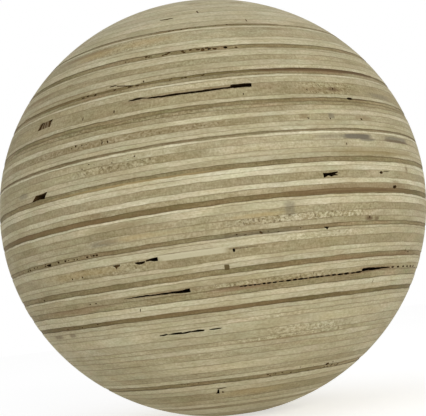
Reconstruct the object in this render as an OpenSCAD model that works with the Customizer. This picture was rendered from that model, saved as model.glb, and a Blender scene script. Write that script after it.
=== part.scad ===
// Turned ball of laminated plywood.
// Boards of plywood are glued up in a stack, face to face, and the block is turned
// to a ball. The edges of all the veneers run round it as level bands, and the
// gaps left between the strips of a veneer open in the surface as dark slits.
// The ball's middle is the origin, +Z runs up through the stack, and the side with
// the widest slits faces -Y.

/* [Ball] */
// Widest diameter, across the boards
ball_w = 137.5; // [80:0.5:240]
// Height from pole to pole, a little less because boards shrink most in thickness
ball_h = 134.3; // [80:0.1:240]

/* [Stock veneers] */
// Thickness of the thinnest veneer, a skin between thicker ones
skin_t = 0.7; // [0.5:0.1:0.9]
// Thickness of a thin veneer, many of them dark
thin_t = 1.1; // [0.9:0.1:1.3]
// Thickness of a face veneer
face_t = 1.4; // [1.2:0.1:1.6]
// Thickness of an inner veneer
inner_t = 1.8; // [1.6:0.1:2]
// Thickness of a cross veneer
cross_t = 2.1; // [1.9:0.1:2.3]
// Thickness of a core veneer
core_t = 2.5; // [2.3:0.1:2.8]
// Thickness of the two thick cores
thick_t = 3.8; // [3:0.1:4.4]
// How far the ball's middle lies below the top face of the board it is in
middle_drop = 2.6; // [0:0.1:6]

/* [Surface] */
// How far the dark veneers stand back from the pale ones after sanding
dark_sink = 0.1; // [0:0.1:0.3]
// Largest turn of the outline between two points of the turned profile, in degrees
profile_step = 2.5; // [1:0.5:5]

/* [Gaps] */
// How deep an open gap between two veneer strips runs in from the surface
gap_depth = 9; // [5:0.5:20]
// How deep a small pit or torn spot goes
pit_depth = 2.5; // [1:0.5:6]
// Width of the widest slot where a strip of the core split
slot_w = 1; // [0.6:0.1:1.6]
// Pitch of the stitch-like row of openings along the half-closed gap
stitch_pitch = 1.4; // [1:0.1:3]
// Width of each opening in that row
stitch_w = 0.8; // [0.4:0.1:0.9]

/* [Hidden] */

half_w = ball_w / 2;
half_h = ball_h / 2;
// The board that the ball's middle lies in.
middle_board = 7;
// Openings are cut from this far outside the surface.
clear = 4;
// Openings sit this far off the 0.1 mm steps of the lay-up, so no corner lies on a glue line.
off_glue = 0.03;

// Veneer kinds: colour of the edge, and whether it is one of the dark ones that are sunk.
CHALK = [[0.75, 0.72, 0.60], false];
CREAM = [[0.72, 0.69, 0.56], false];
STRAW = [[0.69, 0.65, 0.52], false];
OAT = [[0.65, 0.61, 0.48], false];
TAN = [[0.61, 0.56, 0.43], false];
CLAY = [[0.57, 0.52, 0.39], true];
UMBER = [[0.49, 0.44, 0.32], true];
BARK = [[0.44, 0.39, 0.27], true];
KINDS = [CHALK, CREAM, STRAW, OAT, TAN, CLAY, UMBER, BARK];

// Lay-up of each board from its top face down, as [kind, stock veneer].
// The boards come from several sheets, so no two lay-ups are quite alike.
BOARDS = [
    [[CREAM, core_t], [STRAW, core_t], [CREAM, inner_t], [CREAM, inner_t], [CREAM, cross_t]],
    [[CREAM, cross_t], [STRAW, cross_t], [CREAM, cross_t], [CREAM, cross_t], [STRAW, cross_t]],
    [[CLAY, skin_t], [CREAM, skin_t], [OAT, thick_t], [CREAM, thin_t], [CREAM, inner_t]],
    [
        [UMBER, face_t], [STRAW, skin_t], [STRAW, inner_t], [TAN, inner_t], [STRAW, inner_t],
        [OAT, face_t]
    ],
    [
        [BARK, skin_t], [CLAY, thin_t], [CHALK, skin_t], [OAT, inner_t], [TAN, thick_t],
        [STRAW, thin_t]
    ],
    [
        [UMBER, thin_t], [CLAY, thin_t], [TAN, face_t], [CREAM, face_t], [TAN, inner_t],
        [STRAW, face_t], [STRAW, thin_t]
    ],
    [
        [CLAY, skin_t], [CHALK, skin_t], [OAT, inner_t], [OAT, cross_t], [STRAW, face_t],
        [STRAW, face_t]
    ],
    [
        [UMBER, face_t], [CHALK, thin_t], [CHALK, face_t], [TAN, cross_t], [CHALK, face_t],
        [TAN, face_t]
    ],
    [
        [BARK, face_t], [CHALK, skin_t], [STRAW, inner_t], [TAN, inner_t], [OAT, inner_t],
        [OAT, face_t]
    ],
    [
        [UMBER, thin_t], [STRAW, skin_t], [CREAM, inner_t], [TAN, core_t], [CREAM, thin_t],
        [STRAW, face_t]
    ],
    [
        [UMBER, face_t], [CREAM, skin_t], [STRAW, face_t], [TAN, face_t], [CLAY, inner_t],
        [CREAM, face_t], [CREAM, face_t]
    ],
    [
        [BARK, thin_t], [STRAW, thin_t], [STRAW, face_t], [STRAW, thin_t], [STRAW, core_t],
        [STRAW, cross_t], [OAT, thin_t]
    ],
    [
        [STRAW, face_t], [OAT, inner_t], [STRAW, inner_t], [STRAW, cross_t], [OAT, face_t],
        [CREAM, thin_t]
    ],
    [
        [UMBER, thin_t], [CREAM, face_t], [STRAW, face_t], [TAN, cross_t], [OAT, face_t],
        [CREAM, thin_t]
    ],
    [[OAT, skin_t], [CREAM, cross_t], [OAT, inner_t], [STRAW, cross_t]]
];

// Sum of the first n entries of a list.
function total(list, n) = n <= 0 ? 0 : list[n - 1] + total(list, n - 1);
// The lay-ups repeat above and below where the ball is taller than the stack.
function board(i) = BOARDS[((i % len(BOARDS)) + len(BOARDS)) % len(BOARDS)];
function veneer_ts(i) = [for (v = board(i)) v[1]];
function board_t(i) = total(veneer_ts(i), len(board(i)));
// Height of the top face of board i, counted from the middle board.
function board_top(i) =
    i == middle_board ? middle_drop
    : i < middle_board ? board_top(i + 1) + board_t(i)
    : board_top(i - 1) - board_t(i - 1);
// Height of the top of veneer j in board i.
function veneer_top(i, j) = board_top(i) - total(veneer_ts(i), j);
// First and last board that the ball reaches, looked for from board i.
function first_board(i) = board_top(i) >= half_h ? i : first_board(i - 1);
function last_board(i) = board_top(i + 1) <= -half_h ? i : last_board(i + 1);

// Half width of the turned surface at height z.
function surface_r(z) = half_w * sqrt(max(0, 1 - pow(z / half_h, 2)));
// Turned outline of the slice between heights low and high, sunk by s.
function outline(low, high, s) =
    let (
        h = half_h - s,
        from = asin(max(-1, low / h)),
        to = asin(min(1, high / h)),
        steps = ceil((to - from) / profile_step)
    )
    [for (k = [0:steps]) let (a = from + (to - from) * k / steps) [(half_w - s) * cos(a), h * sin(a)]];

// One veneer of one board, as the slice of the ball that it fills.
module veneer(i, j) {
    s = board(i)[j][0][1] ? dark_sink : 0;
    high = min(veneer_top(i, j), half_h - s);
    low = max(veneer_top(i, j) - board(i)[j][1], s - half_h);
    if (high > low)
        rotate_extrude()
            polygon(concat(
                [[0, low]],
                [for (p = outline(low, high, s)) if (p[0] > 0.001) p],
                [[0, high]]
            ));
}

// The glued block after turning: every veneer of every board the ball reaches.
module turned_stack() {
    for (kind = KINDS)
        color(kind[0])
            for (i = [first_board(middle_board):last_board(middle_board)])
                for (j = [0:len(board(i)) - 1])
                    if (board(i)[j][0] == kind)
                        veneer(i, j);
}

// An opening in the edge of veneer j of board i. Its outline is in millimetres across
// and up from a point share of the way down that edge, and turn degrees round from -Y.
module opening(i, j, share, turn, depth, points) {
    z = veneer_top(i, j) - share * board(i)[j][1] - off_glue;
    r = surface_r(z);
    sunk = min(depth, r / 2);
    rotate([0, 0, turn])
        translate([0, sunk - r, z])
            rotate([90, 0, 0])
                linear_extrude(sunk + clear)
                    polygon(points);
}

// Lens-shaped opening, w across and h high, its top pushed over by lean.
function lens(w, h, lean = 0) = [
    [lean / 4 - w / 2, h * 0.1], [lean / 2 - w * 0.3, h * 0.42], [lean / 2 + w * 0.2, h / 2],
    [w / 2, h * 0.15], [w * 0.4 - lean / 2, -h * 0.3], [-lean / 2, -h / 2], [-w * 0.4, -h * 0.25]
];
// Upright slot with square ends, its top pushed over by lean.
function slot(w, h, lean = 0) = [
    [(lean - w) / 2, h / 2], [(lean + w) / 2, h / 2], [(w - lean) / 2, -h / 2], [-(w + lean) / 2, -h / 2]
];

// Gaps where the strips of a core veneer were laid apart.
module core_gaps() {
    // Long thin gap that opens to a square end on its right.
    opening(4, 4, 0.2, -2, gap_depth, [
        [-17, 0.5], [-13.5, 0.8], [-11, 0.4], [0, 0.1], [11, 0.3], [11, 0.8], [16.5, 0.8],
        [16.5, -0.3], [10, -0.3], [0, -0.4], [-7, -0.4], [-11.5, 0], [-13.5, 0.3], [-16, 0.2]
    ]);
    // Slanting block of a gap near the middle, on the left.
    opening(6, 5, 0.5, -44, gap_depth, [[-1.8, 0.7], [3.6, 0.9], [2.4, -0.8], [-3.8, -0.8]]);
    // Gap with a torn lower side, right of the middle, and two small ones past it.
    opening(7, 3, 0.4, 28, gap_depth, [
        [-2.4, 0.6], [0.5, 0.6], [2.4, 0.8], [1.5, 0.1], [2.2, -0.2], [0.3, -0.5], [-0.8, -0.2],
        [-2.2, -0.8]
    ]);
    opening(7, 3, 0.25, 44, gap_depth, lens(1.4, 0.8));
    opening(7, 5, 0.7, 49, gap_depth, lens(2, 1));
    // Gap at the left end of the filled patch, with a shallow torn part, a slit at the
    // patch's right end, and a torn spot beyond the gap.
    opening(9, 3, 0.1, -15.5, gap_depth, [[-1.7, 0.1], [1.7, 0.5], [1.7, -0.5], [-1.7, -0.3]]);
    opening(9, 3, 0.25, -18.5, pit_depth, [[-1.5, 0.3], [1.4, 0.3], [1.2, -0.2], [-0.3, -0.4]]);
    opening(9, 3, 0.25, 3.5, gap_depth, lens(0.7, 1));
    opening(9, 3, 0.25, -24.5, pit_depth, [[-1.2, 0.4], [1.1, 0.4], [0.8, -0.2], [-0.3, -0.8]]);
    // Wedge that widens to a square end, and the blunt gap at the far end of the same veneer.
    opening(10, 3, 0.6, -16.5, gap_depth, [
        [-9.5, 0.1], [-4, 0.2], [5, 0.2], [9.3, 0.4], [9.3, -0.5], [0, -0.3], [-9.5, -0.1]
    ]);
    opening(10, 3, 0.5, 44, gap_depth, [
        [-6.3, 0.4], [0, 0.3], [6.5, 0.1], [6.5, -0.2], [0, -0.3], [-6.3, -0.5]
    ]);
    // Thin gap low down, bridged once.
    opening(11, 4, 0.4, -13, gap_depth, [
        [-6.5, 0.1], [-3, 0.2], [6.5, 0.2], [6.5, -0.1], [3, -0.2], [-6.5, -0.2]
    ]);
    opening(11, 4, 0.4, -3.5, gap_depth, lens(2.6, 0.4));
}

// Upright slots where a strip of the core split.
module split_slots() {
    slot_h = 2.1;
    opening(4, 4, 0.2, -46, pit_depth, slot(slot_w, slot_h, 1));
    opening(4, 4, 0.2, -44, pit_depth, slot(slot_w * 0.6, slot_h));
    opening(4, 4, 0.2, -42, pit_depth, slot(slot_w, slot_h, 0.2));
}

// Half-closed gap that shows as a row of small openings. It runs just under a glue line
// and steps up over it on its way to the right.
module stitched_gap() {
    stitch_from = 4;
    stitch_to = 37.5;
    step_up = 24;
    stitch_h = 0.4;
    turn_per_stitch = stitch_pitch / (surface_r(veneer_top(10, 3)) * PI / 180);
    for (turn = [stitch_from:turn_per_stitch:stitch_to])
        opening(10, 3, turn < step_up ? 1.05 : 0.78, turn, gap_depth / 2, lens(stitch_w, stitch_h));
    // It opens again as a row of dashes past the blunt gap.
    for (turn = [52:3:64])
        opening(10, 3, 0.5, turn, gap_depth / 2, lens(2 * stitch_w, stitch_h));
}

// Torn spots and pin-sized holes, most of them in the dark veneers.
module pits() {
    opening(1, 2, 0.55, -8.5, pit_depth, lens(4, 0.6));
    opening(3, 0, 0.6, 9, pit_depth, lens(1.1, 0.8));
    opening(3, 0, 0.6, 4.5, pit_depth, lens(0.9, 0.6));
    opening(5, 0, 0.2, 39.5, pit_depth, lens(2.4, 0.8));
    opening(9, 0, 0.6, -45.5, pit_depth, lens(1.5, 0.7));
    for (turn = [-41.5, -39, -30])
        opening(9, 0, 0.4, turn, pit_depth, lens(0.8, 0.5));
    opening(9, 0, 0.9, 26, pit_depth, lens(1.2, 0.6));
    opening(12, 5, 0.9, 40.5, pit_depth, lens(1.1, 0.7, -0.5));
    opening(13, 2, 0.7, -8, gap_depth, slot(0.6, 1.3, 0.6));
}

module ball() {
    difference() {
        turned_stack();
        color(BARK[0]) {
            core_gaps();
            split_slots();
            stitched_gap();
            pits();
        }
    }
}

ball();
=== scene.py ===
import math
import random

import bpy
import numpy as np
from mathutils import Matrix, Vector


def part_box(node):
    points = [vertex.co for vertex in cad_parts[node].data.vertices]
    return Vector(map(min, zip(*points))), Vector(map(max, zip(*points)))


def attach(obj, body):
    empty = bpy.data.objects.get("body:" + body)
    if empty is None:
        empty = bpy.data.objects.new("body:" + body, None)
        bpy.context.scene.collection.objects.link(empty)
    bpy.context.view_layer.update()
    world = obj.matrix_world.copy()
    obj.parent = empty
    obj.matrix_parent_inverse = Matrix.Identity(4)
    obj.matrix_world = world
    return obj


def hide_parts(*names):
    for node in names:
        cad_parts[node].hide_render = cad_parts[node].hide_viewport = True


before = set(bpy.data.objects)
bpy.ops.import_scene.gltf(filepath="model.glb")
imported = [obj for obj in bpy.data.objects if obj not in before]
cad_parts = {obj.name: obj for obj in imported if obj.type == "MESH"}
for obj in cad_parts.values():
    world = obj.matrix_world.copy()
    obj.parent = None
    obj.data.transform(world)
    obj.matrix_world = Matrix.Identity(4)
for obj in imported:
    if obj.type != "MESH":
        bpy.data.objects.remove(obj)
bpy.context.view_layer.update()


# ---- Camera ----
# The ball is looked at from a little below its widest ring, from 4.6 of its half
# widths away, with the camera turned so that the bands rise to the right.
low_corner, high_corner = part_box("ball")
half_w = min(high_corner.x, high_corner.y, -low_corner.x, -low_corner.y)
half_h = min(high_corner.z, -low_corner.z)

LOOK_UP = math.radians(6.7)
ROLL = math.radians(7.2)
HALF_WIDTHS_AWAY = 4.6
FILM_WIDTH = 36
LENS = 81
distance = HALF_WIDTHS_AWAY * half_w

bpy.ops.object.select_all(action="DESELECT")
bpy.ops.object.camera_add(
    location=(0, -distance * math.cos(LOOK_UP), -distance * math.sin(LOOK_UP)),
    rotation=(math.pi / 2 + LOOK_UP, 0, 0))
camera = bpy.context.object
camera.name = "camera"
turned = camera.rotation_euler.to_matrix() @ Matrix.Rotation(-ROLL, 3, "Z")
camera.rotation_euler = turned.to_euler()
camera.data.sensor_width = FILM_WIDTH
camera.data.lens = LENS
camera.data.clip_start = 0.01
bpy.context.scene.camera = camera


# ---- Turned block ----
# Fifteen boards of plywood, glued face to face and turned as one block on a lathe.
# The dark veneers are harder to sand and stand back a hair from the pale ones.
MM = 0.001
SUNK = 0.1 * MM
ROW = 1.2 * MM
SEGMENTS = 384
SAME_POINT = 1e-7
MERGE_WITHIN = 0.004 * MM


def linear(red, green, blue):
    """Scene colour for a shade written in 0 to 255."""
    return tuple(
        c / 255 / 12.92 if c / 255 <= 0.04045 else ((c / 255 + 0.055) / 1.055) ** 2.4
        for c in (red, green, blue))


# The wood's shades lie between a pale one and a dark one.
PALE = (196, 187, 154)
DARK = (112, 97, 61)

# Kind of veneer: how far its shade lies from pale to dark, how rough its edge is, and
# whether it is a sunk one.
KINDS = {
    "chalk": (0.0, 0.25, False),
    "cream": (0.1, 0.35, False),
    "straw": (0.22, 0.5, False),
    "oat": (0.33, 0.8, False),
    "tan": (0.47, 1.0, False),
    "clay": (0.57, 0.9, True),
    "umber": (0.75, 0.9, True),
    "bark": (0.95, 0.7, True),
}

# Stock veneers and their thickness in millimetres.
STOCK = {
    "skin": 0.7, "thin": 1.1, "face": 1.4, "inner": 1.8, "cross": 2.1, "core": 2.5, "thick": 3.8}

# Veneers of each board from its top face down.
BOARDS = [
    "cream core, straw core, cream inner, cream inner, cream cross",
    "cream cross, straw cross, cream cross, cream cross, straw cross",
    "clay skin, cream skin, oat thick, cream thin, cream inner",
    "umber face, straw skin, straw inner, tan inner, straw inner, oat face",
    "bark skin, clay thin, chalk skin, oat inner, tan thick, straw thin",
    "umber thin, clay thin, tan face, cream face, tan inner, straw face, straw thin",
    "clay skin, chalk skin, oat inner, oat cross, straw face, straw face",
    "umber face, chalk thin, chalk face, tan cross, chalk face, tan face",
    "bark face, chalk skin, straw inner, tan inner, oat inner, oat face",
    "umber thin, straw skin, cream inner, tan core, cream thin, straw face",
    "umber face, cream skin, straw face, tan face, clay inner, cream face, cream face",
    "bark thin, straw thin, straw face, straw thin, straw core, straw cross, oat thin",
    "straw face, oat inner, straw inner, straw cross, oat face, cream thin",
    "umber thin, cream face, straw face, tan cross, oat face, cream thin",
    "oat skin, cream cross, oat inner, straw cross",
]
MIDDLE_BOARD = 7
MIDDLE_DROP = 2.6

veneers = [
    (board, place, text.split()[0], STOCK[text.split()[1]])
    for board, layers in enumerate(BOARDS)
    for place, text in enumerate(layers.split(", "))]
stack_above = sum(v[3] for v in veneers if v[0] < MIDDLE_BOARD)
top_of_stack = (MIDDLE_DROP + stack_above) * MM
veneer_tops = {}
veneer_heights = {}
height = top_of_stack
for board, place, kind, thickness in veneers:
    veneer_tops[board, place] = height
    veneer_heights[board, place] = thickness
    height -= thickness * MM


def surface_radius(z, sunk=0.0):
    """Radius of the turned surface at a height, set back by sunk."""
    return (half_w - sunk) * np.sqrt(np.clip(1 - (z / (half_h - sunk)) ** 2, 0, 1))


# Points of the turned profile from pole to pole, and the veneer below each of them.
profile = []
for number, (board, place, kind, thickness) in enumerate(veneers):
    sunk = SUNK if KINDS[kind][2] else 0.0
    high = min(veneer_tops[board, place], half_h - sunk)
    low = max(veneer_tops[board, place] - thickness * MM, sunk - half_h)
    rows = max(1, math.ceil((high - low) / ROW))
    for step in range(rows + 1):
        z = high + (low - high) * step / rows
        point = (float(surface_radius(z, sunk)), z, sunk)
        if profile and abs(profile[-1][0] - point[0]) + abs(profile[-1][1] - z) < SAME_POINT:
            profile[-1] = point + (number,)
        else:
            profile.append(point + (number,))

# One vertex at the upper pole, drawn out along the profile and spun round.
bpy.ops.object.select_all(action="DESELECT")
bpy.ops.mesh.primitive_plane_add(size=MM)
ball = bpy.context.object
ball.name = "turned_ball"
bpy.ops.object.mode_set(mode="EDIT")
bpy.ops.mesh.select_all(action="SELECT")
bpy.ops.mesh.merge(type="CENTER")
bpy.ops.transform.translate(value=(profile[0][0], 0, profile[0][1]))
for above, below in zip(profile, profile[1:]):
    bpy.ops.mesh.extrude_region_move(TRANSFORM_OT_translate={
        "value": (below[0] - above[0], 0, below[1] - above[1])})
bpy.ops.mesh.select_all(action="SELECT")
bpy.ops.mesh.spin(steps=SEGMENTS, angle=2 * math.pi, center=(0, 0, 0), axis=(0, 0, 1))
bpy.ops.mesh.select_all(action="SELECT")
bpy.ops.mesh.remove_doubles(threshold=MERGE_WITHIN)
bpy.ops.mesh.normals_make_consistent(inside=False)
bpy.ops.object.mode_set(mode="OBJECT")
mesh = ball.data

# Each vertex knows its point of the profile, and each face the veneer that it lies on.
points = np.zeros(len(mesh.vertices) * 3, np.float32)
mesh.vertices.foreach_get("co", points)
points = points.reshape(-1, 3).astype(float)
ring = np.hypot(points[:, 0], points[:, 1])
line = np.array([(r, z) for r, z, sunk, number in profile])
SLICES = 40
on_profile = np.concatenate([
    np.argmin((line[:, :1] - r) ** 2 + (line[:, 1:] - z) ** 2, axis=0)
    for r, z in zip(np.array_split(ring, SLICES), np.array_split(points[:, 2], SLICES))])
corner_vertex = np.zeros(len(mesh.loops), np.int32)
mesh.loops.foreach_get("vertex_index", corner_vertex)
face_start = np.zeros(len(mesh.polygons), np.int32)
mesh.polygons.foreach_get("loop_start", face_start)
face_size = np.zeros(len(mesh.polygons), np.int32)
mesh.polygons.foreach_get("loop_total", face_size)
upper = np.minimum.reduceat(on_profile[corner_vertex], face_start)
face_veneer = np.array([profile[k][3] for k in range(len(profile))])[upper]
corner_veneer = np.repeat(face_veneer, face_size)

tops = np.array([veneer_tops[board, place] for board, place, kind, t in veneers])
bottoms = tops - np.array([t for board, place, kind, t in veneers]) * MM
level = points[:, 2].copy()
below_top = (tops[corner_veneer] - level[corner_vertex]) / MM
above_bottom = (level[corner_vertex] - bottoms[corner_veneer]) / MM

# The boards were never quite flat. Each line gives a height in the ball, how far the
# boards rise and fall there, and where round the ball the rise starts, in degrees.
BOARD_WAVES = [
    (56, 0, 0), (46, -0.5, -5), (38, -0.4, -10), (29, 0, 0), (20, -0.2, -10), (10, 0, 0),
    (-3, 0.3, -30), (-15, 0.2, -40), (-25, 0.4, 10), (-30, 0.3, 30), (-33, 0.2, 30), (-53, 0, 0),
]
turn = np.degrees(np.arctan2(points[:, 0], -points[:, 1]))
wave_at = np.array([w[0] for w in BOARD_WAVES][::-1]) * MM
wave_cos = np.array([w[1] * math.cos(math.radians(2 * w[2])) for w in BOARD_WAVES][::-1])
wave_sin = np.array([w[1] * math.sin(math.radians(2 * w[2])) for w in BOARD_WAVES][::-1])
double = np.radians(2 * turn)
wave = (np.interp(level, wave_at, wave_cos) * np.sin(double)
        - np.interp(level, wave_at, wave_sin) * np.cos(double))
# Each glue line wobbles a little besides, as the veneers on both sides of it swell.
wobble_of = np.random.default_rng(4)
wobble = np.zeros(len(points))
for waves_round, rise in ((9, 0.05), (17, 0.04), (31, 0.04), (58, 0.03), (83, 0.03)):
    starts = wobble_of.uniform(0, 2 * math.pi, len(profile))
    for number in range(1, len(profile)):
        if abs(profile[number][1] - profile[number - 1][1]) < SAME_POINT:
            starts[number] = starts[number - 1]
    start = starts[on_profile]
    wobble += rise * np.sin(waves_round * np.radians(turn) + start)
wave += wobble * np.clip(ring / half_w, 0, 1)
# The veneer under the filled patch was pressed down where the patch was let in: how far,
# in millimetres, its turn from -Y and its height in the ball, and its spread both ways.
PRESSED_BY = 0.6
PRESSED_TURN, PRESSED_SPREAD = -8, 12
PRESSED_HEIGHT, PRESSED_REACH = -21.5, 1.3
pressed = np.exp(-((turn - PRESSED_TURN) / PRESSED_SPREAD) ** 2
                 - ((level / MM - PRESSED_HEIGHT) / PRESSED_REACH) ** 2)
new_level = level + (wave - PRESSED_BY * pressed) * MM
set_back = np.array([sunk for r, z, sunk, number in profile])[on_profile]
POLE = 0.5 * MM
scale = np.where(
    ring > POLE,
    (half_w - set_back) * np.sqrt(np.clip(1 - (new_level / (half_h - set_back)) ** 2, 0, 1))
    / np.maximum(ring, 1e-9), 1)
points[:, 0] *= scale
points[:, 1] *= scale
points[:, 2] = np.where(ring > POLE, new_level, level)
mesh.vertices.foreach_set("co", points.astype(np.float32).ravel())
mesh.update()

LIFT = 0.035
ROUGH_EDGE = 0.6
chance = random.Random(11)
veneer_seed = [chance.uniform(0, 1) for v in veneers]
veneer_lift = [chance.uniform(-LIFT, LIFT) for v in veneers]
shade = np.array([
    [c * (1 + lift) for c in linear(*(
        p + (d - p) * KINDS[kind][0] for p, d in zip(PALE, DARK)))]
    for (board, place, kind, t), lift in zip(veneers, veneer_lift)])
coarse = np.array([KINDS[kind][1] for board, place, kind, t in veneers])
# Veneers with a rough edge are laid with their fibres along Y, the smooth ones along X.
end_grain = (coarse >= ROUGH_EDGE).astype(float)
dark_kind = np.array([float(KINDS[kind][2]) for board, place, kind, t in veneers])

# Where each face lies round the ball, in degrees from -Y.
face_middle = np.add.reduceat(points[corner_vertex], face_start) / face_size[:, None]
face_turn = np.degrees(np.arctan2(face_middle[:, 0], -face_middle[:, 1]))
veneer_number = {(board, place): n for n, (board, place, kind, t) in enumerate(veneers)}


def stretch(board, place, turn_from, turn_to, fade):
    """How far each face belongs to a stretch of one veneer, from 0 to 1."""
    inside = np.minimum(face_turn - turn_from, turn_to - face_turn)
    return (face_veneer == veneer_number[board, place]) * np.clip(0.5 + inside / fade, 0, 1)


# A change of tone is least in the red and most in the blue, so that light wood is whiter
# and dark wood browner.
TONE_CHANNELS = (0.9, 1, 1.3)
# Pieces of a veneer that are darker or paler than the rest of it: board, place, turn from
# and to, and how much of its light they add or take. Their ends fade over a few degrees.
PIECE_FADE = 3
PIECES = [
    (0, 4, 0, 30, -0.1), (2, 0, -10, 30, -0.1), (2, 0, 30, 70, 0.2), (2, 0, -70, -50, 0.2),
    (2, 1, -30, 10, 0.1), (3, 0, -10, 10, -0.1), (3, 0, 40, 70, 0.1), (3, 0, -70, -50, 0.1),
    (3, 3, 20, 70, 0.2), (3, 5, 10, 70, 0.2), (3, 5, -70, -20, -0.1), (4, 0, -20, 0, 0.3),
    (4, 0, -70, -40, 0.1), (4, 1, -20, 0, 0.1), (4, 3, -70, -30, -0.1), (5, 0, 30, 70, 0.1),
    (5, 1, 30, 70, -0.1), (5, 2, 20, 70, 0.1), (5, 4, 20, 70, 0.1), (6, 2, -70, -40, -0.1),
    (6, 3, -70, -30, -0.1), (6, 3, -30, 0, -0.2), (6, 4, -70, -50, -0.1),
    (6, 5, -70, -50, -0.1), (6, 5, 30, 50, -0.2), (7, 0, -40, 0, 0.1), (7, 3, 30, 50, 0.1),
    (7, 4, -70, -50, -0.1), (7, 4, 30, 50, -0.1), (7, 5, -70, -30, 0.1), (8, 0, -50, -10, 0.1),
    (8, 2, -70, -50, -0.1), (8, 2, -30, -10, -0.1), (8, 2, 20, 70, 0.1), (8, 3, 0, 30, 0.1),
    (8, 5, 30, 50, -0.2), (9, 0, 30, 70, 0.1), (9, 2, 20, 70, -0.1), (9, 4, 10, 50, -0.1),
    (9, 5, -70, -30, -0.1), (10, 0, -70, -50, -0.1), (10, 2, -70, -40, -0.1),
    (10, 4, -70, -40, -0.1), (12, 0, 10, 30, -0.1), (12, 1, 10, 30, -0.1),
    (12, 4, -50, -10, -0.1), (12, 5, 30, 70, -0.1), (13, 0, 40, 70, 0.1),
    (13, 1, -70, -30, -0.1), (13, 3, 0, 60, -0.1),
]
face_shade = shade[face_veneer]
for board, place, turn_from, turn_to, change in PIECES:
    inside_piece = stretch(board, place, turn_from, turn_to, PIECE_FADE)[:, None]
    face_shade *= 1 + inside_piece * change * np.array(TONE_CHANNELS)
# Frayed stretches of the rough veneers: board, place, turn from and to, and how strongly
# they are frayed.
FRAY_FADE = 10
FRAYED = [
    (2, 2, -36, -8, 0.6), (4, 4, 25, 43, 0.8), (5, 1, -45, 5, 0.6), (5, 4, -55, 5, 0.7),
    (6, 3, -32, -8, 0.8), (8, 3, 22, 46, 0.4), (8, 4, 2, 40, 1), (9, 2, 12, 40, 0.5),
    (9, 3, -44, -16, 0.6), (10, 3, -4, 28, 0.8), (11, 3, 2, 26, 0.5), (11, 5, 10, 38, 0.7),
    (11, 6, 2, 38, 0.7),
]
frayed = np.zeros(len(face_turn))
for board, place, turn_from, turn_to, strength in FRAYED:
    frayed = np.maximum(frayed, strength * stretch(board, place, turn_from, turn_to, FRAY_FADE))

for name, kind, domain, values in (
        ("shade", "FLOAT_VECTOR", "FACE", face_shade),
        ("frayed", "FLOAT", "FACE", frayed),
        ("seed", "FLOAT", "FACE", np.array(veneer_seed)[face_veneer]),
        ("coarse", "FLOAT", "FACE", coarse[face_veneer]),
        ("end_grain", "FLOAT", "FACE", end_grain[face_veneer]),
        ("dark_kind", "FLOAT", "FACE", dark_kind[face_veneer]),
        ("below_top", "FLOAT", "CORNER", below_top),
        ("above_bottom", "FLOAT", "CORNER", above_bottom)):
    layer = mesh.attributes.new(name, kind, domain)
    layer.data.foreach_set(
        "vector" if kind == "FLOAT_VECTOR" else "value", values.astype(np.float32).ravel())


# ---- Openings ----
# Gaps left between the strips of a core veneer, splits and torn spots. Each is a blind
# pocket with ragged edges, cut square to the surface.

# Depths of the openings, how far a cutter stands out of the surface, and how far an
# opening is kept off the glue lines, in millimetres.
GAP_DEPTH = 9
PIT_DEPTH = 2.5
NICK_DEPTH = 0.5
CLEAR = 2
OFF_GLUE = 0.03
SMOOTH_UNDER = math.radians(35)
SLIVER = 0.0001 * MM
ragged = random.Random(5)


def lens(w, h, lean=0.0):
    """Outline of a lens-shaped opening, its top pushed over by lean."""
    return [
        (lean / 4 - w / 2, h * 0.1), (lean / 2 - w * 0.3, h * 0.42), (lean / 2 + w * 0.2, h / 2),
        (w / 2, h * 0.15), (w * 0.4 - lean / 2, -h * 0.3), (-lean / 2, -h / 2),
        (-w * 0.4, -h * 0.25)]


def slot(w, h):
    """Outline of an upright slot with nearly square ends."""
    return [(-w / 2, h / 2), (w / 2, h * 0.46), (w * 0.44, -h / 2), (-w * 0.48, -h * 0.44)]


def torn(outline, tear, step=0.7):
    """The outline with points put in along its sides and pushed about by tear."""
    result = []
    for (x0, y0), (x1, y1) in zip(outline, outline[1:] + outline[:1]):
        parts = max(1, int(math.hypot(x1 - x0, y1 - y0) / step))
        for k in range(parts):
            push = ragged.uniform(-tear, tear) if k else 0.0
            result.append((x0 + (x1 - x0) * k / parts, y0 + (y1 - y0) * k / parts + push))
    return result


cutters = []


def opening(z, turn_deg, depth, outline, tear=0.0):
    """Adds the cutter of one opening, at a height in millimetres and a turn from -Y."""
    outline = torn(outline, tear) if tear else outline
    radius = float(surface_radius(z * MM))
    sunk = min(depth * MM, radius / 2)
    bpy.ops.object.select_all(action="DESELECT")
    bpy.ops.mesh.primitive_circle_add(vertices=len(outline), fill_type="NGON")
    cutter = bpy.context.object
    for vertex, (x, y) in zip(cutter.data.vertices, outline):
        vertex.co = (x * MM, y * MM, 0)
    bpy.ops.object.mode_set(mode="EDIT")
    bpy.ops.mesh.select_all(action="SELECT")
    bpy.ops.mesh.extrude_region_move(
        TRANSFORM_OT_translate={"value": (0, 0, sunk + CLEAR * MM)})
    bpy.ops.mesh.select_all(action="SELECT")
    bpy.ops.mesh.normals_make_consistent(inside=False)
    bpy.ops.object.mode_set(mode="OBJECT")
    upright = Matrix.Rotation(math.radians(turn_deg), 4, "Z")
    placed = Matrix.Translation((0, sunk - radius, z * MM)) @ Matrix.Rotation(math.pi / 2, 4, "X")
    cutter.data.transform(upright @ placed)
    cutters.append(cutter)


def place_height(board, place, share):
    """Height in millimetres of a point share of the way down a veneer's edge."""
    return veneer_tops[board, place] / MM - share * veneer_heights[board, place]


def veneer_opening(board, place, share, turn_deg, depth, outline, tear=0.0):
    """An opening a share of the way down a veneer's edge."""
    opening(place_height(board, place, share) - OFF_GLUE, turn_deg, depth, outline, tear)


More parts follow.
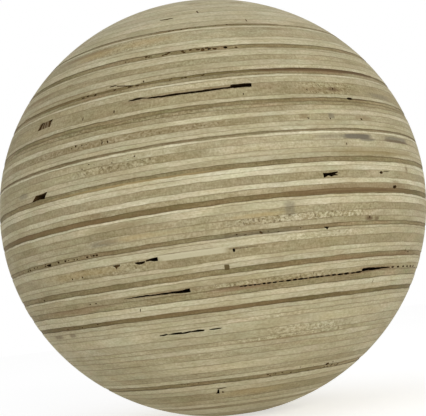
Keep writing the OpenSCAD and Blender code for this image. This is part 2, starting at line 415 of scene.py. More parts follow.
# Gaps between the strips of the core veneers.
veneer_opening(4, 4, 0.2, -2, GAP_DEPTH, [
    (-17.2, 0.4), (-15.8, 0.6), (-14.6, 0.8), (-13.4, 0.7), (-11.5, 0.3), (-7, 0.2), (-3, 0.2),
    (2, 0.1), (7, 0.2), (10.8, 0.3), (11, 0.8), (14, 0.9), (16.6, 0.8), (16.5, -0.3),
    (13.5, -0.3), (10, -0.3), (6, -0.4), (2, -0.5), (-3, -0.4), (-7, -0.4), (-11, -0.1),
    (-13, 0.3), (-15.5, 0.1)], 0.07)
veneer_opening(6, 5, 0.5, -44, GAP_DEPTH, [
    (-1.8, 0.7), (0.5, 0.7), (3.7, 0.9), (3, 0.1), (2.3, -0.8), (-0.5, -0.7), (-3.8, -0.8),
    (-2.7, 0)], 0.08)
veneer_opening(7, 3, 0.4, 28, GAP_DEPTH, [
    (-2.4, 0.6), (-0.8, 0.5), (0.5, 0.6), (2.4, 0.8), (2.5, 0.5), (1.5, 0.1), (2.4, -0.1),
    (2.2, -0.3), (0.9, -0.3), (0.3, -0.6), (-0.8, -0.2), (-1.5, -0.6), (-2.2, -0.8)])
veneer_opening(7, 3, 0.25, 44, GAP_DEPTH, lens(1.5, 0.8))
veneer_opening(7, 3, 0.1, 46, NICK_DEPTH, lens(3, 0.2))
veneer_opening(7, 5, 0.7, 49, GAP_DEPTH, lens(2.2, 1, 0.6))
veneer_opening(9, 3, 0.1, -15.5, GAP_DEPTH, [
    (-1.7, 0.1), (0, 0.4), (1.7, 0.5), (1.7, -0.5), (0.5, -0.5), (-0.6, -0.2), (-1.7, -0.3)])
veneer_opening(9, 3, 0.25, -18.5, PIT_DEPTH, [
    (-1.5, 0.3), (0, 0.3), (1.6, 0.3), (1.4, -0.1), (0.6, -0.4), (-0.4, -0.4), (-1.2, -0.1)])
veneer_opening(9, 3, 0.25, 3.5, GAP_DEPTH, lens(0.7, 1))
veneer_opening(9, 3, 0.25, -24.5, NICK_DEPTH, [
    (-1.2, 0.4), (1.1, 0.4), (1, -0.1), (0.2, -0.2), (-0.2, -0.8), (-0.5, -0.2), (-0.9, 0.1)])
veneer_opening(10, 3, 0.6, -16.5, GAP_DEPTH, [
    (-9.6, 0.1), (-6, 0.2), (-2.4, 0.3), (-1.6, 0.1), (-1, 0.2), (3, 0.2), (7.4, 0.3), (8.2, 0.5),
    (9.3, 0.5), (9.3, -0.5), (8, -0.5), (5, -0.3), (0, -0.2), (-5, -0.1), (-9.5, 0)], 0.07)
veneer_opening(10, 3, 0.5, 44, GAP_DEPTH, [
    (-6.4, 0.2), (-5.8, 0.4), (-3, 0.4), (0, 0.3), (3, 0.3), (6.5, 0.1), (6.4, -0.2), (3, -0.2),
    (0, -0.3), (-3, -0.4), (-5.6, -0.5), (-6.4, -0.4)], 0.07)
veneer_opening(11, 4, 0.4, -13, GAP_DEPTH, [
    (-6.3, 0.1), (-4.2, 0.3), (-3.8, 0.1), (-2, 0.3), (0, 0.3), (0.3, 0.1), (2.4, 0.3), (2.8, 0.2),
    (4.6, 0.4), (6.4, 0.2), (6.2, -0.2), (4.6, -0.2), (2.6, -0.1), (1, -0.3), (-1.8, -0.2),
    (-3.9, 0), (-5, -0.2), (-6.3, -0.1)])
veneer_opening(11, 4, 0.4, -3.5, GAP_DEPTH, lens(3.8, 0.4, 0.4))

# Upright slots where a strip of the core split.
veneer_opening(4, 4, 0.2, -46, PIT_DEPTH, [(0.2, 1), (1.4, 1.1), (0.4, -1), (-1.2, -1)])
veneer_opening(4, 4, 0.2, -44.5, PIT_DEPTH, slot(0.5, 1.9))
veneer_opening(4, 4, 0.2, -43.5, NICK_DEPTH, slot(0.4, 1.9))
veneer_opening(4, 4, 0.2, -42, PIT_DEPTH, [
    (-0.6, 1), (1.2, 1.1), (0.6, 0.3), (0.4, -1), (-0.4, -1)])

# Half-closed gap that shows as a row of small openings, rising to the right.
STITCH_FROM = 4
STITCH_TO = 37.5
gap_radius = float(surface_radius(veneer_tops[10, 3])) / MM
along = STITCH_FROM
while along < STITCH_TO:
    opened = (along - STITCH_FROM) / (STITCH_TO - STITCH_FROM)
    length = ragged.uniform(0.5, 1.3) + opened * ragged.uniform(0.2, 2.8)
    middle = along + math.degrees(length / 2 / gap_radius)
    veneer_opening(10, 3, 1.1 - 0.2 * opened + ragged.uniform(-0.03, 0.03), middle, GAP_DEPTH / 2,
                   lens(length, 0.34 + 0.22 * opened + ragged.uniform(-0.1, 0.12)))
    along += math.degrees((length + ragged.uniform(-0.2, 0.35)) / gap_radius)
for turn_deg in (51.5, 54.5, 58, 61, 64, 67):
    veneer_opening(10, 3, 0.5, turn_deg, GAP_DEPTH / 2, lens(ragged.uniform(1.5, 2.3), 0.5))

# Torn spots and pin-sized holes.
veneer_opening(1, 2, 0.55, -8.5, NICK_DEPTH, lens(4.2, 0.5))
veneer_opening(3, 0, 0.6, 9, PIT_DEPTH, lens(1.2, 0.8))
veneer_opening(3, 0, 0.6, 4.5, PIT_DEPTH, lens(0.9, 0.6))
veneer_opening(5, 0, 0.2, 39.5, PIT_DEPTH, lens(2.4, 0.8))
veneer_opening(9, 0, 0.6, -45.5, GAP_DEPTH, [(-1.2, 0.2), (1.2, 0.4), (1, -0.4), (-0.2, -0.3)])
veneer_opening(9, 0, 0.4, -41.5, PIT_DEPTH, lens(0.9, 0.6))
veneer_opening(9, 0, 0.4, -39, PIT_DEPTH, lens(0.9, 0.6))
veneer_opening(9, 0, 0.4, -30, PIT_DEPTH, lens(0.9, 0.5))
veneer_opening(9, 0, 0.9, 26, PIT_DEPTH, [(-0.8, 0.4), (0.9, 0.3), (0.3, -0.5)])
veneer_opening(12, 5, 0.9, 40.5, PIT_DEPTH, lens(1.2, 0.8, -0.5))
veneer_opening(13, 2, 0.7, -8, GAP_DEPTH, [
    (0.1, 0.6), (0.6, 0.6), (0.3, -0.2), (0.2, -0.7), (-0.8, -0.7), (-0.3, -0.1)])
veneer_opening(3, 5, 0.8, -18.5, NICK_DEPTH, [
    (-2.6, 0.6), (-0.5, 0.2), (2.4, -0.4), (2.3, -0.7), (-0.5, -0.1), (-2.6, 0.3)])

# Shallow nicks: board, place and share of the way down the veneer, turn, and the width,
# height and lean of the nick in millimetres.
NICKS = [
    (1, 1, 0.7, 3.5, 0.3, 1.5, -0.5), (1, 4, 0.4, 19.5, 0.3, 1.4, 0), (2, 0, 0.4, -7, 0.7, 0.3, 0),
    (2, 0, 0.4, -3, 0.5, 0.3, 0), (2, 0, 0.4, 12, 0.6, 0.3, 0), (3, 0, 0.5, -7.5, 1.2, 0.6, 0),
    (3, 0, 0.5, -3, 0.9, 0.5, 0), (3, 0, 0.5, 2.5, 0.4, 0.6, 0), (3, 5, 0.3, -22, 2.4, 0.4, 0),
    (3, 5, 0.7, -13.5, 0.5, 0.6, 0), (4, 4, 0.7, -30, 0.4, 1.2, 0.3), (4, 4, 0.7, -21, 0.4, 0.9, 0),
    (4, 4, 0.8, 10.5, 0.3, 0.6, 0), (4, 4, 0.6, 35, 0.5, 0.7, 0.2), (4, 4, 0.7, 27, 0.3, 0.6, 0),
    (5, 4, 0.1, -31.5, 0.6, 0.7, 0), (5, 4, 0.6, -24, 0.5, 0.9, 0.2), (5, 4, 0.6, -22.5, 0.5, 0.8, 0),
    (5, 4, 0.7, 25, 0.5, 0.4, -0.3), (5, 4, 0.8, 31, 0.4, 0.5, 0), (5, 4, 0.8, 41, 0.5, 0.7, -0.3),
    (9, 0, 0.5, -36, 0.5, 0.4, 0), (9, 0, 0.5, -35, 0.4, 0.4, 0), (9, 0, 0.5, 10, 0.6, 0.8, -0.5),
    (9, 0, 0.3, 4.5, 0.5, 0.4, 0), (9, 3, 0.8, -38.5, 0.4, 0.6, 0), (9, 3, 0.8, -35, 0.4, 0.6, 0),
    (9, 3, 0.1, 5, 0.4, 0.2, 0), (9, 3, 0.1, 6.5, 0.5, 0.2, 0), (9, 5, 0.7, 57, 0.3, 1.5, 0),
    (10, 0, 0.1, 59, 2.2, 0.2, 0), (9, 5, 0.3, 60.5, 0.4, 0.9, 0.4), (6, 3, 0.6, 34, 0.3, 0.8, 0),
    (8, 5, 0.2, 39, 0.5, 0.5, 0), (7, 2, 0.3, 56, 0.3, 0.8, 0),
    (10, 0, 0.9, -54, 1, 0.4, 0), (10, 3, 0.6, -36, 0.6, 0.3, 0), (10, 3, 0.6, -34, 0.6, 0.3, 0),
    (10, 5, 0.8, -22, 0.4, 0.9, 0.3), (10, 5, 0.7, 43.5, 0.3, 1.2, 0.3),
    (13, 2, 0.1, -6, 3, 0.3, 0.4), (13, 2, 1, -6, 0.6, 0.5, 0),
]
for board, place, share, turn_deg, w, h, lean in NICKS:
    veneer_opening(board, place, share, turn_deg, NICK_DEPTH, lens(w, h, lean))

# Crumbled stretches of the dark veneers, strewn with small torn spots: board and place of
# the veneer, turn of the stretch from and to, number of spots and their largest width.
CRUMBLED = [
    (3, 0, -24, 12, 20, 1.0), (2, 0, -22, 16, 12, 0.6), (9, 0, -60, -27, 16, 1.0),
    (5, 4, -34, -16, 6, 0.6), (4, 0, -34, -12, 9, 1.3), (12, 5, 26, 44, 5, 0.6),
    (11, 0, -52, -36, 5, 0.6), (3, 0, 1, 9, 9, 1.4), (4, 0, -10, 2, 8, 0.8), (9, 0, -2, 20, 8, 0.5),
    (13, 0, 12, 50, 16, 0.8), (13, 0, -30, 10, 8, 0.5), (6, 2, -30, -16, 8, 0.6),
]
for board, place, turn_from, turn_to, spots, widest in CRUMBLED:
    highest = veneer_heights[board, place] / 2
    for spot in range(spots):
        w = ragged.uniform(0.3, 1) * widest
        veneer_opening(board, place, ragged.uniform(0.2, 0.8), ragged.uniform(turn_from, turn_to),
                       NICK_DEPTH, lens(w, min(w * ragged.uniform(0.4, 0.8), highest),
                                        ragged.uniform(-0.2, 0.2)))

bpy.ops.object.select_all(action="DESELECT")
for cutter in cutters:
    cutter.select_set(True)
bpy.context.view_layer.objects.active = cutters[0]
bpy.ops.object.join()
cutter = cutters[0]

# The walls of the openings get their own material, painted dark: partly torn wood, partly painted
# shade.
wall_with_painted_shade = bpy.data.materials.new("gap_wall_and_painted_shade")
plywood = bpy.data.materials.new("plywood_edge")
mesh.materials.append(plywood)
cutter.data.materials.append(wall_with_painted_shade)
cut = ball.modifiers.new("openings", "BOOLEAN")
cut.operation = "DIFFERENCE"
cut.solver = "EXACT"
cut.material_mode = "TRANSFER"
cut.use_self = True
cut.object = cutter
bpy.ops.object.select_all(action="DESELECT")
ball.select_set(True)
bpy.context.view_layer.objects.active = ball
bpy.ops.object.modifier_apply(modifier=cut.name)
bpy.data.objects.remove(cutter)
bpy.ops.object.mode_set(mode="EDIT")
bpy.ops.mesh.select_all(action="SELECT")
bpy.ops.mesh.dissolve_degenerate(threshold=SLIVER)
bpy.ops.object.mode_set(mode="OBJECT")
bpy.ops.object.shade_smooth_by_angle(angle=SMOOTH_UNDER)
mesh = ball.data


# ---- Wood ----
# Raw, sanded veneer edges: tone changes from strip to strip, short upright marks of the
# cut fibres, thin lines of glue between the veneers, and no varnish.
def node(tree, kind, **settings):
    """Adds a node and sets its properties."""
    made = tree.nodes.new(kind)
    for name, value in settings.items():
        setattr(made, name, value)
    return made


def feed(tree, socket, source):
    """Links a socket, or writes a plain value in it."""
    if isinstance(source, (int, float, tuple)):
        socket.default_value = source
    else:
        tree.links.new(source, socket)


def math_of(tree, operation, a, b=0.0, c=0.0, clamp=False):
    """Output of a Math node."""
    made = node(tree, "ShaderNodeMath", operation=operation, use_clamp=clamp)
    for socket, source in zip(made.inputs, (a, b, c)):
        feed(tree, socket, source)
    return made.outputs[0]


def mixed(tree, amount, a, b, blend="MIX"):
    """Output of a colour Mix node."""
    made = node(tree, "ShaderNodeMix", data_type="RGBA", blend_type=blend)
    feed(tree, made.inputs[0], amount)
    feed(tree, made.inputs[6], a if not isinstance(a, tuple) else a + (1,))
    feed(tree, made.inputs[7], b if not isinstance(b, tuple) else b + (1,))
    return made.outputs[2]


def group(name, inputs, outputs):
    """An empty node group with named float inputs and outputs."""
    tree = bpy.data.node_groups.new(name, "ShaderNodeTree")
    for text, value in inputs:
        socket = tree.interface.new_socket(text, in_out="INPUT", socket_type="NodeSocketFloat")
        socket.default_value = value
    for text in outputs:
        tree.interface.new_socket(text, in_out="OUTPUT", socket_type="NodeSocketFloat")
    return tree, node(tree, "NodeGroupInput"), node(tree, "NodeGroupOutput")


def placed_group(tree, group_tree, **values):
    """A group in a tree, with its inputs set or linked."""
    made = node(tree, "ShaderNodeGroup", node_tree=group_tree)
    for name, value in values.items():
        feed(tree, made.inputs[name.replace("_", " ")], value)
    return made


# Noise that follows the surface: features this wide across and this high, different for
# every seed. Goes from about -1 to 1.
fibre_group, fibre_in, fibre_out = group(
    "fibre", [("Seed", 0.0), ("Width", 1.0), ("Height", 1.0), ("Detail", 2.0)], ["Value"])
here = node(fibre_group, "ShaderNodeTexCoord").outputs["Object"]
per_width = math_of(fibre_group, "DIVIDE", 1000.0, fibre_in.outputs["Width"])
per_height = math_of(fibre_group, "DIVIDE", 1000.0, fibre_in.outputs["Height"])
size = node(fibre_group, "ShaderNodeCombineXYZ")
for socket, source in zip(size.inputs, (per_width, per_width, per_height)):
    feed(fibre_group, socket, source)
sized = node(fibre_group, "ShaderNodeVectorMath", operation="MULTIPLY")
feed(fibre_group, sized.inputs[0], here)
feed(fibre_group, sized.inputs[1], size.outputs[0])
shift = node(fibre_group, "ShaderNodeCombineXYZ")
for socket, factor in zip(shift.inputs, (137.0, 291.0, 53.0)):
    feed(fibre_group, socket, math_of(fibre_group, "MULTIPLY", fibre_in.outputs["Seed"], factor))
moved = node(fibre_group, "ShaderNodeVectorMath", operation="ADD")
feed(fibre_group, moved.inputs[0], sized.outputs[0])
feed(fibre_group, moved.inputs[1], shift.outputs[0])
noise = node(fibre_group, "ShaderNodeTexNoise", noise_dimensions="3D")
feed(fibre_group, noise.inputs["Vector"], moved.outputs[0])
feed(fibre_group, noise.inputs["Scale"], 1.0)
feed(fibre_group, noise.inputs["Detail"], fibre_in.outputs["Detail"])
feed(fibre_group, noise.inputs["Roughness"], 0.55)
feed(fibre_group, fibre_out.inputs["Value"], math_of(
    fibre_group, "MULTIPLY_ADD", noise.outputs["Fac"], 4.0, -2.0))

# Mask of one stain or patch, given by its turn from -Y and its height in the ball.
stain_group, stain_in, stain_out = group(
    "stain", [("Turn", 0.0), ("Half Turn", 5.0), ("Height", 0.0), ("Half Height", 1.0),
              ("Softness", 0.3)], ["Mask"])
split = node(stain_group, "ShaderNodeSeparateXYZ")
feed(stain_group, split.inputs[0], node(stain_group, "ShaderNodeTexCoord").outputs["Object"])
turn_here = math_of(stain_group, "MULTIPLY", math_of(
    stain_group, "ARCTAN2", split.outputs["X"],
    math_of(stain_group, "MULTIPLY", split.outputs["Y"], -1.0)), math.degrees(1))
height_here = math_of(stain_group, "MULTIPLY", split.outputs["Z"], 1000.0)
off_turn = math_of(stain_group, "ABSOLUTE", math_of(
    stain_group, "SUBTRACT", turn_here, stain_in.outputs["Turn"]))
off_height = math_of(stain_group, "ABSOLUTE", math_of(
    stain_group, "SUBTRACT", height_here, stain_in.outputs["Height"]))
far_turn = math_of(stain_group, "DIVIDE", off_turn, stain_in.outputs["Half Turn"])
far_height = math_of(stain_group, "DIVIDE", off_height, stain_in.outputs["Half Height"])
edge = placed_group(stain_group, fibre_group, Seed=3.7, Width=2.2, Height=0.8, Detail=2.0)
squared = math_of(stain_group, "MULTIPLY_ADD", far_turn, far_turn, math_of(
    stain_group, "MULTIPLY", far_height, far_height))
square = math_of(stain_group, "MAXIMUM", far_turn, far_height)
rounding = math_of(stain_group, "MULTIPLY", math_of(
    stain_group, "SUBTRACT", math_of(stain_group, "SQRT", squared), square),
    stain_in.outputs["Softness"])
far = math_of(stain_group, "ADD", square, rounding)
far = math_of(stain_group, "MULTIPLY_ADD", edge.outputs["Value"],
              math_of(stain_group, "MULTIPLY", stain_in.outputs["Softness"], 0.35), far)
fade = node(stain_group, "ShaderNodeMapRange", interpolation_type="SMOOTHSTEP")
feed(stain_group, fade.inputs["Value"], far)
feed(stain_group, fade.inputs["From Min"], math_of(
    stain_group, "SUBTRACT", 1.0, stain_in.outputs["Softness"]))
feed(stain_group, fade.inputs["From Max"], math_of(
    stain_group, "ADD", 1.0, stain_in.outputs["Softness"]))
feed(stain_group, fade.inputs["To Min"], 1.0)
feed(stain_group, fade.inputs["To Max"], 0.0)
feed(stain_group, stain_out.inputs["Mask"], fade.outputs[0])

plywood.use_nodes = True
tree = plywood.node_tree
shader = tree.nodes["Principled BSDF"]


def attribute(name, output="Fac"):
    """Output of an Attribute node."""
    return node(tree, "ShaderNodeAttribute", attribute_name=name).outputs[output]


def fibre(seed, width, high, detail=2.0):
    """Value of the fibre group for this material."""
    return placed_group(tree, fibre_group, Seed=seed, Width=width, Height=high,
                        Detail=detail).outputs["Value"]


def brighter(colour, value, amount):
    """The colour made lighter or darker by value, up to about amount."""
    change = node(tree, "ShaderNodeVectorMath", operation="SCALE")
    change.inputs[0].default_value = [weight * amount for weight in TONE_CHANNELS]
    feed(tree, change.inputs["Scale"], value)
    factor = node(tree, "ShaderNodeVectorMath", operation="ADD")
    feed(tree, factor.inputs[0], change.outputs[0])
    factor.inputs[1].default_value = (1, 1, 1)
    scaled = node(tree, "ShaderNodeVectorMath", operation="MULTIPLY")
    feed(tree, scaled.inputs[0], colour)
    feed(tree, scaled.inputs[1], factor.outputs[0])
    return scaled.outputs[0]


seed = attribute("seed")
colour = attribute("shade", "Vector")
rough_kind = attribute("coarse")
dark_kind = attribute("dark_kind")

# An edge that cuts across the fibres is rougher and darker than one that runs with them,
# so each veneer changes as it goes round the ball.
position = node(tree, "ShaderNodeSeparateXYZ")
feed(tree, position.inputs[0], node(tree, "ShaderNodeTexCoord").outputs["Object"])
out_x = math_of(tree, "ABSOLUTE", position.outputs["X"])
out_y = math_of(tree, "ABSOLUTE", position.outputs["Y"])
out_xy = math_of(tree, "SQRT", math_of(tree, "ADD", math_of(
    tree, "MULTIPLY", out_x, out_x), math_of(tree, "MULTIPLY", out_y, out_y)))
fibres_along_y = attribute("end_grain")
facing_fibres = math_of(tree, "ADD", math_of(
    tree, "MULTIPLY", out_y, fibres_along_y), math_of(
    tree, "MULTIPLY", out_x, math_of(tree, "SUBTRACT", 1.0, fibres_along_y)))
cut_across = math_of(tree, "POWER", math_of(tree, "DIVIDE", facing_fibres, math_of(
    tree, "MAXIMUM", out_xy, 0.0001)), math_of(tree, "MULTIPLY_ADD", fibres_along_y, -2.0, 4.0))
coarse_here = math_of(tree, "MULTIPLY_ADD", cut_across, math_of(
    tree, "MULTIPLY_ADD", rough_kind, 0.5, 0.2), math_of(tree, "MULTIPLY", rough_kind, 0.5))
colour = brighter(colour, math_of(tree, "SUBTRACT", fibres_along_y, cut_across), 0.05)

# Strips of one veneer differ in tone, and so does the wood within a strip.
strips = fibre(seed, 22.0, 60.0, 1.0)
clouds = fibre(math_of(tree, "ADD", seed, 2.0), 7.0, 2.5, 2.0)
mottle = fibre(math_of(tree, "ADD", seed, 3.0), 4.5, 0.8, 2.0)
colour = brighter(colour, math_of(tree, "MULTIPLY", strips, math_of(
    tree, "MULTIPLY_ADD", dark_kind, 0.5, 1.0)), 0.15)
colour = brighter(colour, clouds, 0.10)
colour = brighter(colour, math_of(tree, "MULTIPLY", mottle, math_of(
    tree, "ADD", coarse_here, 0.5)), 0.085)
# Long fibres run level in the pale veneers, cut fibres stand upright in the rough ones.
level_lines = fibre(math_of(tree, "ADD", seed, 4.0), 16.0, 0.28, 2.0)
colour = brighter(colour, math_of(tree, "MULTIPLY", level_lines, math_of(
    tree, "ADD", dark_kind, 1.0)), 0.09)
upright_marks = fibre(math_of(tree, "ADD", seed, 6.0), 0.5, 0.9, 3.0)
roughly = math_of(tree, "MULTIPLY", upright_marks, coarse_here)
colour = brighter(colour, roughly, 0.2)
grain = fibre(math_of(tree, "ADD", seed, 5.0), 0.9, 0.4, 1.0)
colour = brighter(colour, grain, 0.16)
dark_specks = fibre(math_of(tree, "ADD", seed, 20.0), 1.8, 0.4, 3.0)
colour = brighter(colour, math_of(tree, "MULTIPLY", dark_specks, dark_kind), 0.16)
# Some stretches are yellower and others greyer, some redder and others greener.
for shift_seed, across, amounts, when_dark in ((16.0, 12.0, (0.01, 0.0, -0.045), 0.0),
                                               (17.0, 9.0, (0.03, -0.015, 0.0), 1.0)):
    hue_noise = math_of(tree, "MULTIPLY", fibre(math_of(
        tree, "ADD", seed, shift_seed), across, across / 3, 2.0), math_of(
        tree, "MULTIPLY_ADD", dark_kind, when_dark, 1.0))
    hue = node(tree, "ShaderNodeCombineXYZ")
    for socket, amount in zip(hue.inputs, amounts):
        feed(tree, socket, math_of(tree, "MULTIPLY_ADD", hue_noise, amount, 1.0))
    tinted = node(tree, "ShaderNodeVectorMath", operation="MULTIPLY")
    feed(tree, tinted.inputs[0], colour)
    feed(tree, tinted.inputs[1], hue.outputs[0])
    colour = tinted.outputs[0]
# Frayed stretches are strewn with pale splinters and dark pits.
frayed = attribute("frayed")
splinters = fibre(math_of(tree, "ADD", seed, 7.0), 0.8, 0.55, 2.0)
torn_flecks = math_of(tree, "MAXIMUM", math_of(
    tree, "MINIMUM", math_of(tree, "MULTIPLY", splinters, 2.0), 1.0), -1.0)
colour = brighter(colour, math_of(tree, "MULTIPLY", torn_flecks, frayed), 0.34)

# Open pores of the rough veneers.
specks = fibre(math_of(tree, "ADD", seed, 8.0), 0.7, 0.8, 1.0)
thick = math_of(tree, "MULTIPLY_ADD", fibre(math_of(tree, "ADD", seed, 9.0), 9.0, 9.0, 1.0),
                0.35, 0.35, clamp=True)
pores = math_of(tree, "MULTIPLY", math_of(
    tree, "MULTIPLY_ADD", frayed, 1.3, math_of(
        tree, "MULTIPLY_ADD", specks, 2.2, -2.0), clamp=True), math_of(
    tree, "ADD", math_of(tree, "MULTIPLY", coarse_here, thick), frayed, clamp=True))
colour = mixed(tree, math_of(tree, "MULTIPLY", pores, 0.7), colour, linear(92, 76, 46))

# Glue shows as a thin dark line at the top and bottom of each veneer, stronger in some
# stretches, with crumbs torn out along it.
near_line = math_of(tree, "MINIMUM", attribute("below_top"), attribute("above_bottom"))
glue_noise = fibre(math_of(tree, "ADD", seed, 12.0), 4.0, 4.0, 3.0)
glue_width = math_of(tree, "ADD", math_of(
    tree, "MULTIPLY_ADD", glue_noise, 0.09, 0.18), math_of(tree, "MULTIPLY", dark_kind, 0.12))
glue = math_of(tree, "SUBTRACT", 1.0, math_of(
    tree, "DIVIDE", near_line, math_of(tree, "MAXIMUM", glue_width, 0.04)), clamp=True)
glue_strength = math_of(tree, "MULTIPLY_ADD", fibre(math_of(
    tree, "ADD", seed, 13.0), 16.0, 16.0, 2.0), 0.3, 0.55, clamp=True)
colour = mixed(tree, math_of(tree, "MULTIPLY", glue, glue_strength), colour,
               mixed(tree, dark_kind, linear(108, 92, 60), linear(86, 70, 44)))
crumb_noise = fibre(math_of(tree, "ADD", seed, 14.0), 0.9, 0.6, 1.0)
crumb_place = math_of(tree, "MULTIPLY_ADD", fibre(math_of(
    tree, "ADD", seed, 15.0), 14.0, 14.0, 1.0), 1.2, -0.5, clamp=True)
crumbs = math_of(tree, "MULTIPLY", math_of(
    tree, "MULTIPLY_ADD", crumb_noise, 2.0, -1.2, clamp=True), math_of(
    tree, "MULTIPLY", crumb_place, math_of(
        tree, "SUBTRACT", 1.0, math_of(tree, "DIVIDE", near_line, 0.5), clamp=True)))
colour = mixed(tree, math_of(tree, "MULTIPLY", crumbs, 0.8), colour, linear(78, 60, 34))

# Stains, smears and the filled patch: board, place and share of the way down the veneer,
# turn, half turn, half height, softness, strength and shade.
GREY = linear(98, 91, 78)
BROWN = linear(128, 108, 74)
RUST = linear(126, 98, 68)
OLIVE = linear(138, 120, 76)
OCHRE = linear(184, 158, 106)
DEEP = linear(86, 62, 38)
KNOT = linear(84, 68, 34)
PATCH = linear(196, 188, 156)
STAINS = [
    (0, 4, 0.2, 3, 4, 0.6, 0.6, 0.45, BROWN),
    (0, 4, 0.5, 25, 4.5, 0.6, 0.6, 0.45, BROWN),
    (2, 0, 0.5, -6, 6, 0.4, 0.4, 0.45, BROWN),
    (2, 0, 0.5, 20, 10, 0.4, 0.4, 0.45, BROWN),
    (2, 2, 0.2, -37, 12, 0.7, 0.5, 0.65, BROWN),
    (2, 2, 0.3, 27, 4, 0.5, 0.5, 0.45, BROWN),
    (3, 2, 0.1, 5.5, 2, 0.4, 0.5, 0.45, BROWN),
    (3, 2, 1, -54, 8, 0.7, 0.5, 0.65, BROWN),
    (3, 2, 0.8, -38, 1.5, 0.4, 0.5, 0.45, BROWN),
    (3, 5, 0.1, -40, 15, 0.2, 0.4, 0.55, BROWN),
    (3, 5, 0.9, -32, 14, 0.2, 0.4, 0.45, BROWN),
    (3, 5, 0.9, -57, 1.5, 0.6, 0.5, 0.5, BROWN),
    (4, 0, 0.4, 36, 20, 0.5, 0.3, 0.7, DEEP), (4, 1, 0.3, 30, 12, 0.5, 0.4, 0.4, RUST),
    (4, 4, 0.2, -44, 2.5, 1, 0.3, 0.7, DEEP),
    (5, 4, 0.5, -25, 35, 1, 0.3, 0.25, BROWN),
    (4, 4, 0.7, 31, 9, 0.7, 0.7, 0.45, BROWN), (4, 4, 0.6, 35, 1.5, 0.6, 0.7, 0.7, DEEP),
    (4, 4, 0.8, 54, 5, 0.8, 0.6, 0.4, GREY), (5, 0, 0.3, 43, 3, 0.25, 0.4, 0.6, DEEP),
    (5, 4, 0.4, 24, 1.2, 0.7, 0.6, 0.6, BROWN), (5, 4, 0.4, 31.5, 0.8, 0.8, 0.5, 0.5, GREY),
    (5, 4, 0.5, 42, 3, 0.5, 0.6, 0.5, BROWN), (6, 4, 0.8, 47, 16, 1, 0.4, 0.5, OLIVE),
    (6, 0, 0.4, 0, 180, 0.15, 0.3, 0.5, DEEP),
    (6, 2, 0.5, 30, 4, 0.6, 0.5, 0.3, GREY), (6, 2, 0.5, 38, 4.5, 0.7, 0.25, 0.85, GREY),
    (6, 2, 1, 41, 2.5, 0.4, 0.4, 0.6, GREY),
    (6, 2, 0.6, 54, 6, 0.8, 0.3, 0.6, GREY), (6, 2, 0.9, 54, 6, 0.4, 0.4, 0.5, DEEP),
    (6, 4, 0.3, -51, 2, 0.8, 0.5, 0.4, GREY),
    (7, 4, 0.7, 49.5, 1.5, 0.4, 0.4, 0.5, BROWN),
    (7, 5, 0.4, -27, 1.5, 0.5, 0.5, 0.5, BROWN),
    (7, 5, 0.8, 35, 20, 1.2, 0.35, 0.4, RUST), (8, 0, 0.4, 36, 14, 0.3, 0.5, 0.5, DEEP),
    (8, 2, 0.5, -22, 6.5, 0.7, 0.5, 0.4, BROWN),
    (8, 3, 0.1, 17, 1.2, 1.8, 0.5, 0.45, GREY),
    (8, 4, 0.5, -26, 4, 0.7, 0.6, 0.6, GREY), (8, 5, 0.4, 39, 1.2, 0.6, 0.6, 0.75, DEEP),
    (8, 5, 0.5, 41.5, 0.8, 0.5, 0.6, 0.6, DEEP), (9, 0, 0.5, 9, 11, 0.5, 0.4, 0.35, GREY),
    (7, 2, 0.4, 56, 0.6, 1.2, 0.7, 0.55, BROWN),
    (9, 2, 0.7, -7, 6.5, 0.15, 0.3, 0.7, DEEP),
    (9, 3, 0.1, -6, 8, 0.8, 0.15, 0.85, PATCH),
    (9, 5, 0.8, 1.5, 0.6, 0.7, 0.15, 0.95, KNOT),
    (10, 3, 1, 23, 17, 0.35, 0.5, 0.4, RUST), (10, 4, 0.3, 5, 6, 0.5, 0.6, 0.6, RUST),
    (10, 3, 1, 3, 5, 0.12, 0.3, 0.75, DEEP), (10, 4, 0.4, -42, 13, 0.7, 0.6, 0.35, RUST),
    (10, 3, 0.5, 45, 8, 0.6, 0.4, 0.45, RUST),
    (10, 3, 0.6, -16, 10, 0.45, 0.4, 0.4, RUST),
    (4, 4, 0.2, -2, 16, 0.5, 0.4, 0.35, RUST),
    (11, 2, 0.4, -59, 3, 0.5, 0.4, 0.5, DEEP),
    (11, 2, 0.4, -50, 1.5, 0.5, 0.4, 0.5, DEEP),
    (12, 0, 0.1, 20, 18, 0.2, 0.3, 0.5, BROWN),
    (13, 0, 0.2, 52, 1.5, 0.3, 0.4, 0.6, BROWN),
    (8, 0, 0.5, -38, 28, 0.6, 0.5, 0.35, RUST), (10, 0, 0.5, 42, 25, 0.6, 0.5, 0.35, RUST),
    (11, 0, 0.5, -5, 22, 0.5, 0.5, 0.35, RUST), (2, 2, 0.5, -32, 7, 1, 0.8, 0.35, OCHRE),
    (2, 2, 0.4, -14, 8, 1, 0.8, 0.35, OCHRE), (7, 0, 0.8, -18, 20, 0.3, 0.6, 0.4, OCHRE),
    (8, 3, 0.6, 10, 5, 0.5, 0.8, 0.4, OCHRE), (8, 4, 0.4, -18, 8, 0.6, 0.8, 0.35, OCHRE),
    (9, 3, 0.5, -34, 9, 0.8, 0.8, 0.3, OCHRE), (13, 3, 0.4, 8, 14, 0.8, 0.8, 0.3, OCHRE),
    (14, 0, 0.5, 0, 50, 0.2, 0.4, 0.5, BROWN), (9, 3, 0.1, 6, 3, 0.15, 0.4, 0.6, DEEP),
]
for board, place, share, turn_deg, half_turn, half_z, softness, strength, tone in STAINS:
    mask = placed_group(
        tree, stain_group, Turn=float(turn_deg), Half_Turn=float(half_turn),
        Height=place_height(board, place, share), Half_Height=float(half_z),
        Softness=softness).outputs["Mask"]
    colour = mixed(tree, math_of(tree, "MULTIPLY", mask, strength), colour, tone)

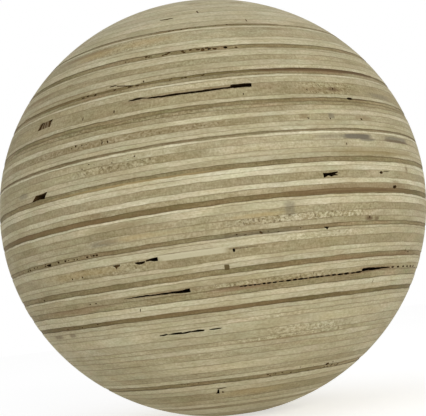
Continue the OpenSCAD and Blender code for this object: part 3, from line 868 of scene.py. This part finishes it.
feed(tree, shader.inputs["Base Color"], colour)
feed(tree, shader.inputs["Roughness"], math_of(
    tree, "MULTIPLY_ADD", coarse_here, 0.12, 0.66))
shader.inputs["Specular IOR Level"].default_value = 0.2
relief = math_of(tree, "MULTIPLY_ADD", roughly, 0.5, math_of(
    tree, "MULTIPLY_ADD", pores, -1.0, math_of(tree, "MULTIPLY", glue, -0.5)))
bump = node(tree, "ShaderNodeBump")
bump.inputs["Strength"].default_value = 0.5
bump.inputs["Distance"].default_value = 0.08 * MM
feed(tree, bump.inputs["Height"], relief)
feed(tree, shader.inputs["Normal"], bump.outputs[0])

# Torn wood and old glue inside the openings. The walls are painted much darker than the wood outside:
# partly their own colour, partly painted shade for the dark inside the openings, shallow nicks too.
wall_with_painted_shade.use_nodes = True
tree = wall_with_painted_shade.node_tree
shader = tree.nodes["Principled BSDF"]
dark = mixed(tree, math_of(tree, "MULTIPLY_ADD", fibre(1.3, 0.9, 0.5, 2.0), 0.5, 0.5, clamp=True),
             linear(74, 50, 24), linear(102, 80, 46))
feed(tree, shader.inputs["Base Color"], dark)
feed(tree, shader.inputs["Roughness"], math_of(
    tree, "MULTIPLY_ADD", fibre(2.1, 1.5, 1.5, 1.0), 0.05, 0.9))
shader.inputs["Specular IOR Level"].default_value = 0.1

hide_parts("ball")
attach(ball, "root")


# ---- Floor and light ----
# A plain white floor that keeps a soft shadow, white behind, even light all round and one
# large soft lamp a little above the ball, in front on the right.
FLOOR_SIZE = 6
bpy.ops.object.select_all(action="DESELECT")
bpy.ops.mesh.primitive_plane_add(size=FLOOR_SIZE, location=(0, 0, -half_h))
floor = bpy.context.object
floor.name = "floor"
floor_paint = bpy.data.materials.new("floor_paint")
floor_paint.use_nodes = True
tree = floor_paint.node_tree
shader = tree.nodes["Principled BSDF"]
shader.inputs["Base Color"].default_value = (0.8, 0.8, 0.8, 1)
shader.inputs["Roughness"].default_value = 0.9
shader.inputs["Specular IOR Level"].default_value = 0.0
path = node(tree, "ShaderNodeLightPath")
seen = math_of(tree, "MAXIMUM", path.outputs["Is Camera Ray"], math_of(
    tree, "MAXIMUM", path.outputs["Is Glossy Ray"], path.outputs["Is Transmission Ray"]))
shader.inputs["Emission Color"].default_value = (1, 1, 1, 1)
feed(tree, shader.inputs["Emission Strength"], math_of(tree, "MULTIPLY_ADD", seen, 0.3, 0.25))
see_through = node(tree, "ShaderNodeBsdfTransparent")
facing = node(tree, "ShaderNodeMixShader")
feed(tree, facing.inputs[0], node(tree, "ShaderNodeNewGeometry").outputs["Backfacing"])
feed(tree, facing.inputs[1], shader.outputs[0])
feed(tree, facing.inputs[2], see_through.outputs[0])
feed(tree, tree.nodes["Material Output"].inputs["Surface"], facing.outputs[0])
floor.data.materials.append(floor_paint)

world = bpy.data.worlds.new("studio")
bpy.context.scene.world = world
world.use_nodes = True
tree = world.node_tree
sky = tree.nodes["Background"]
path = node(tree, "ShaderNodeLightPath")
seen = math_of(tree, "MAXIMUM", path.outputs["Is Camera Ray"], math_of(
    tree, "MAXIMUM", path.outputs["Is Glossy Ray"], path.outputs["Is Transmission Ray"]))
sky.inputs["Color"].default_value = (1, 1, 1, 1)
feed(tree, sky.inputs["Strength"], math_of(tree, "MULTIPLY_ADD", seen, 0.46, 0.54))

LAMP_TURN = math.radians(19)
LAMP_RISE = math.radians(8)
LAMP_AWAY = 0.9
LAMP_SIZE = 0.5
LAMP_POWER = 3.8
lamp_at = (LAMP_AWAY * math.sin(LAMP_TURN) * math.cos(LAMP_RISE),
           -LAMP_AWAY * math.cos(LAMP_TURN) * math.cos(LAMP_RISE),
           LAMP_AWAY * math.sin(LAMP_RISE))
bpy.ops.object.light_add(type="AREA", location=lamp_at,
                         rotation=(math.pi / 2 - LAMP_RISE, 0, LAMP_TURN))
lamp = bpy.context.object
lamp.name = "soft_lamp"
lamp.data.size = LAMP_SIZE
lamp.data.energy = LAMP_POWER

bpy.context.scene.view_settings.view_transform = "Standard"
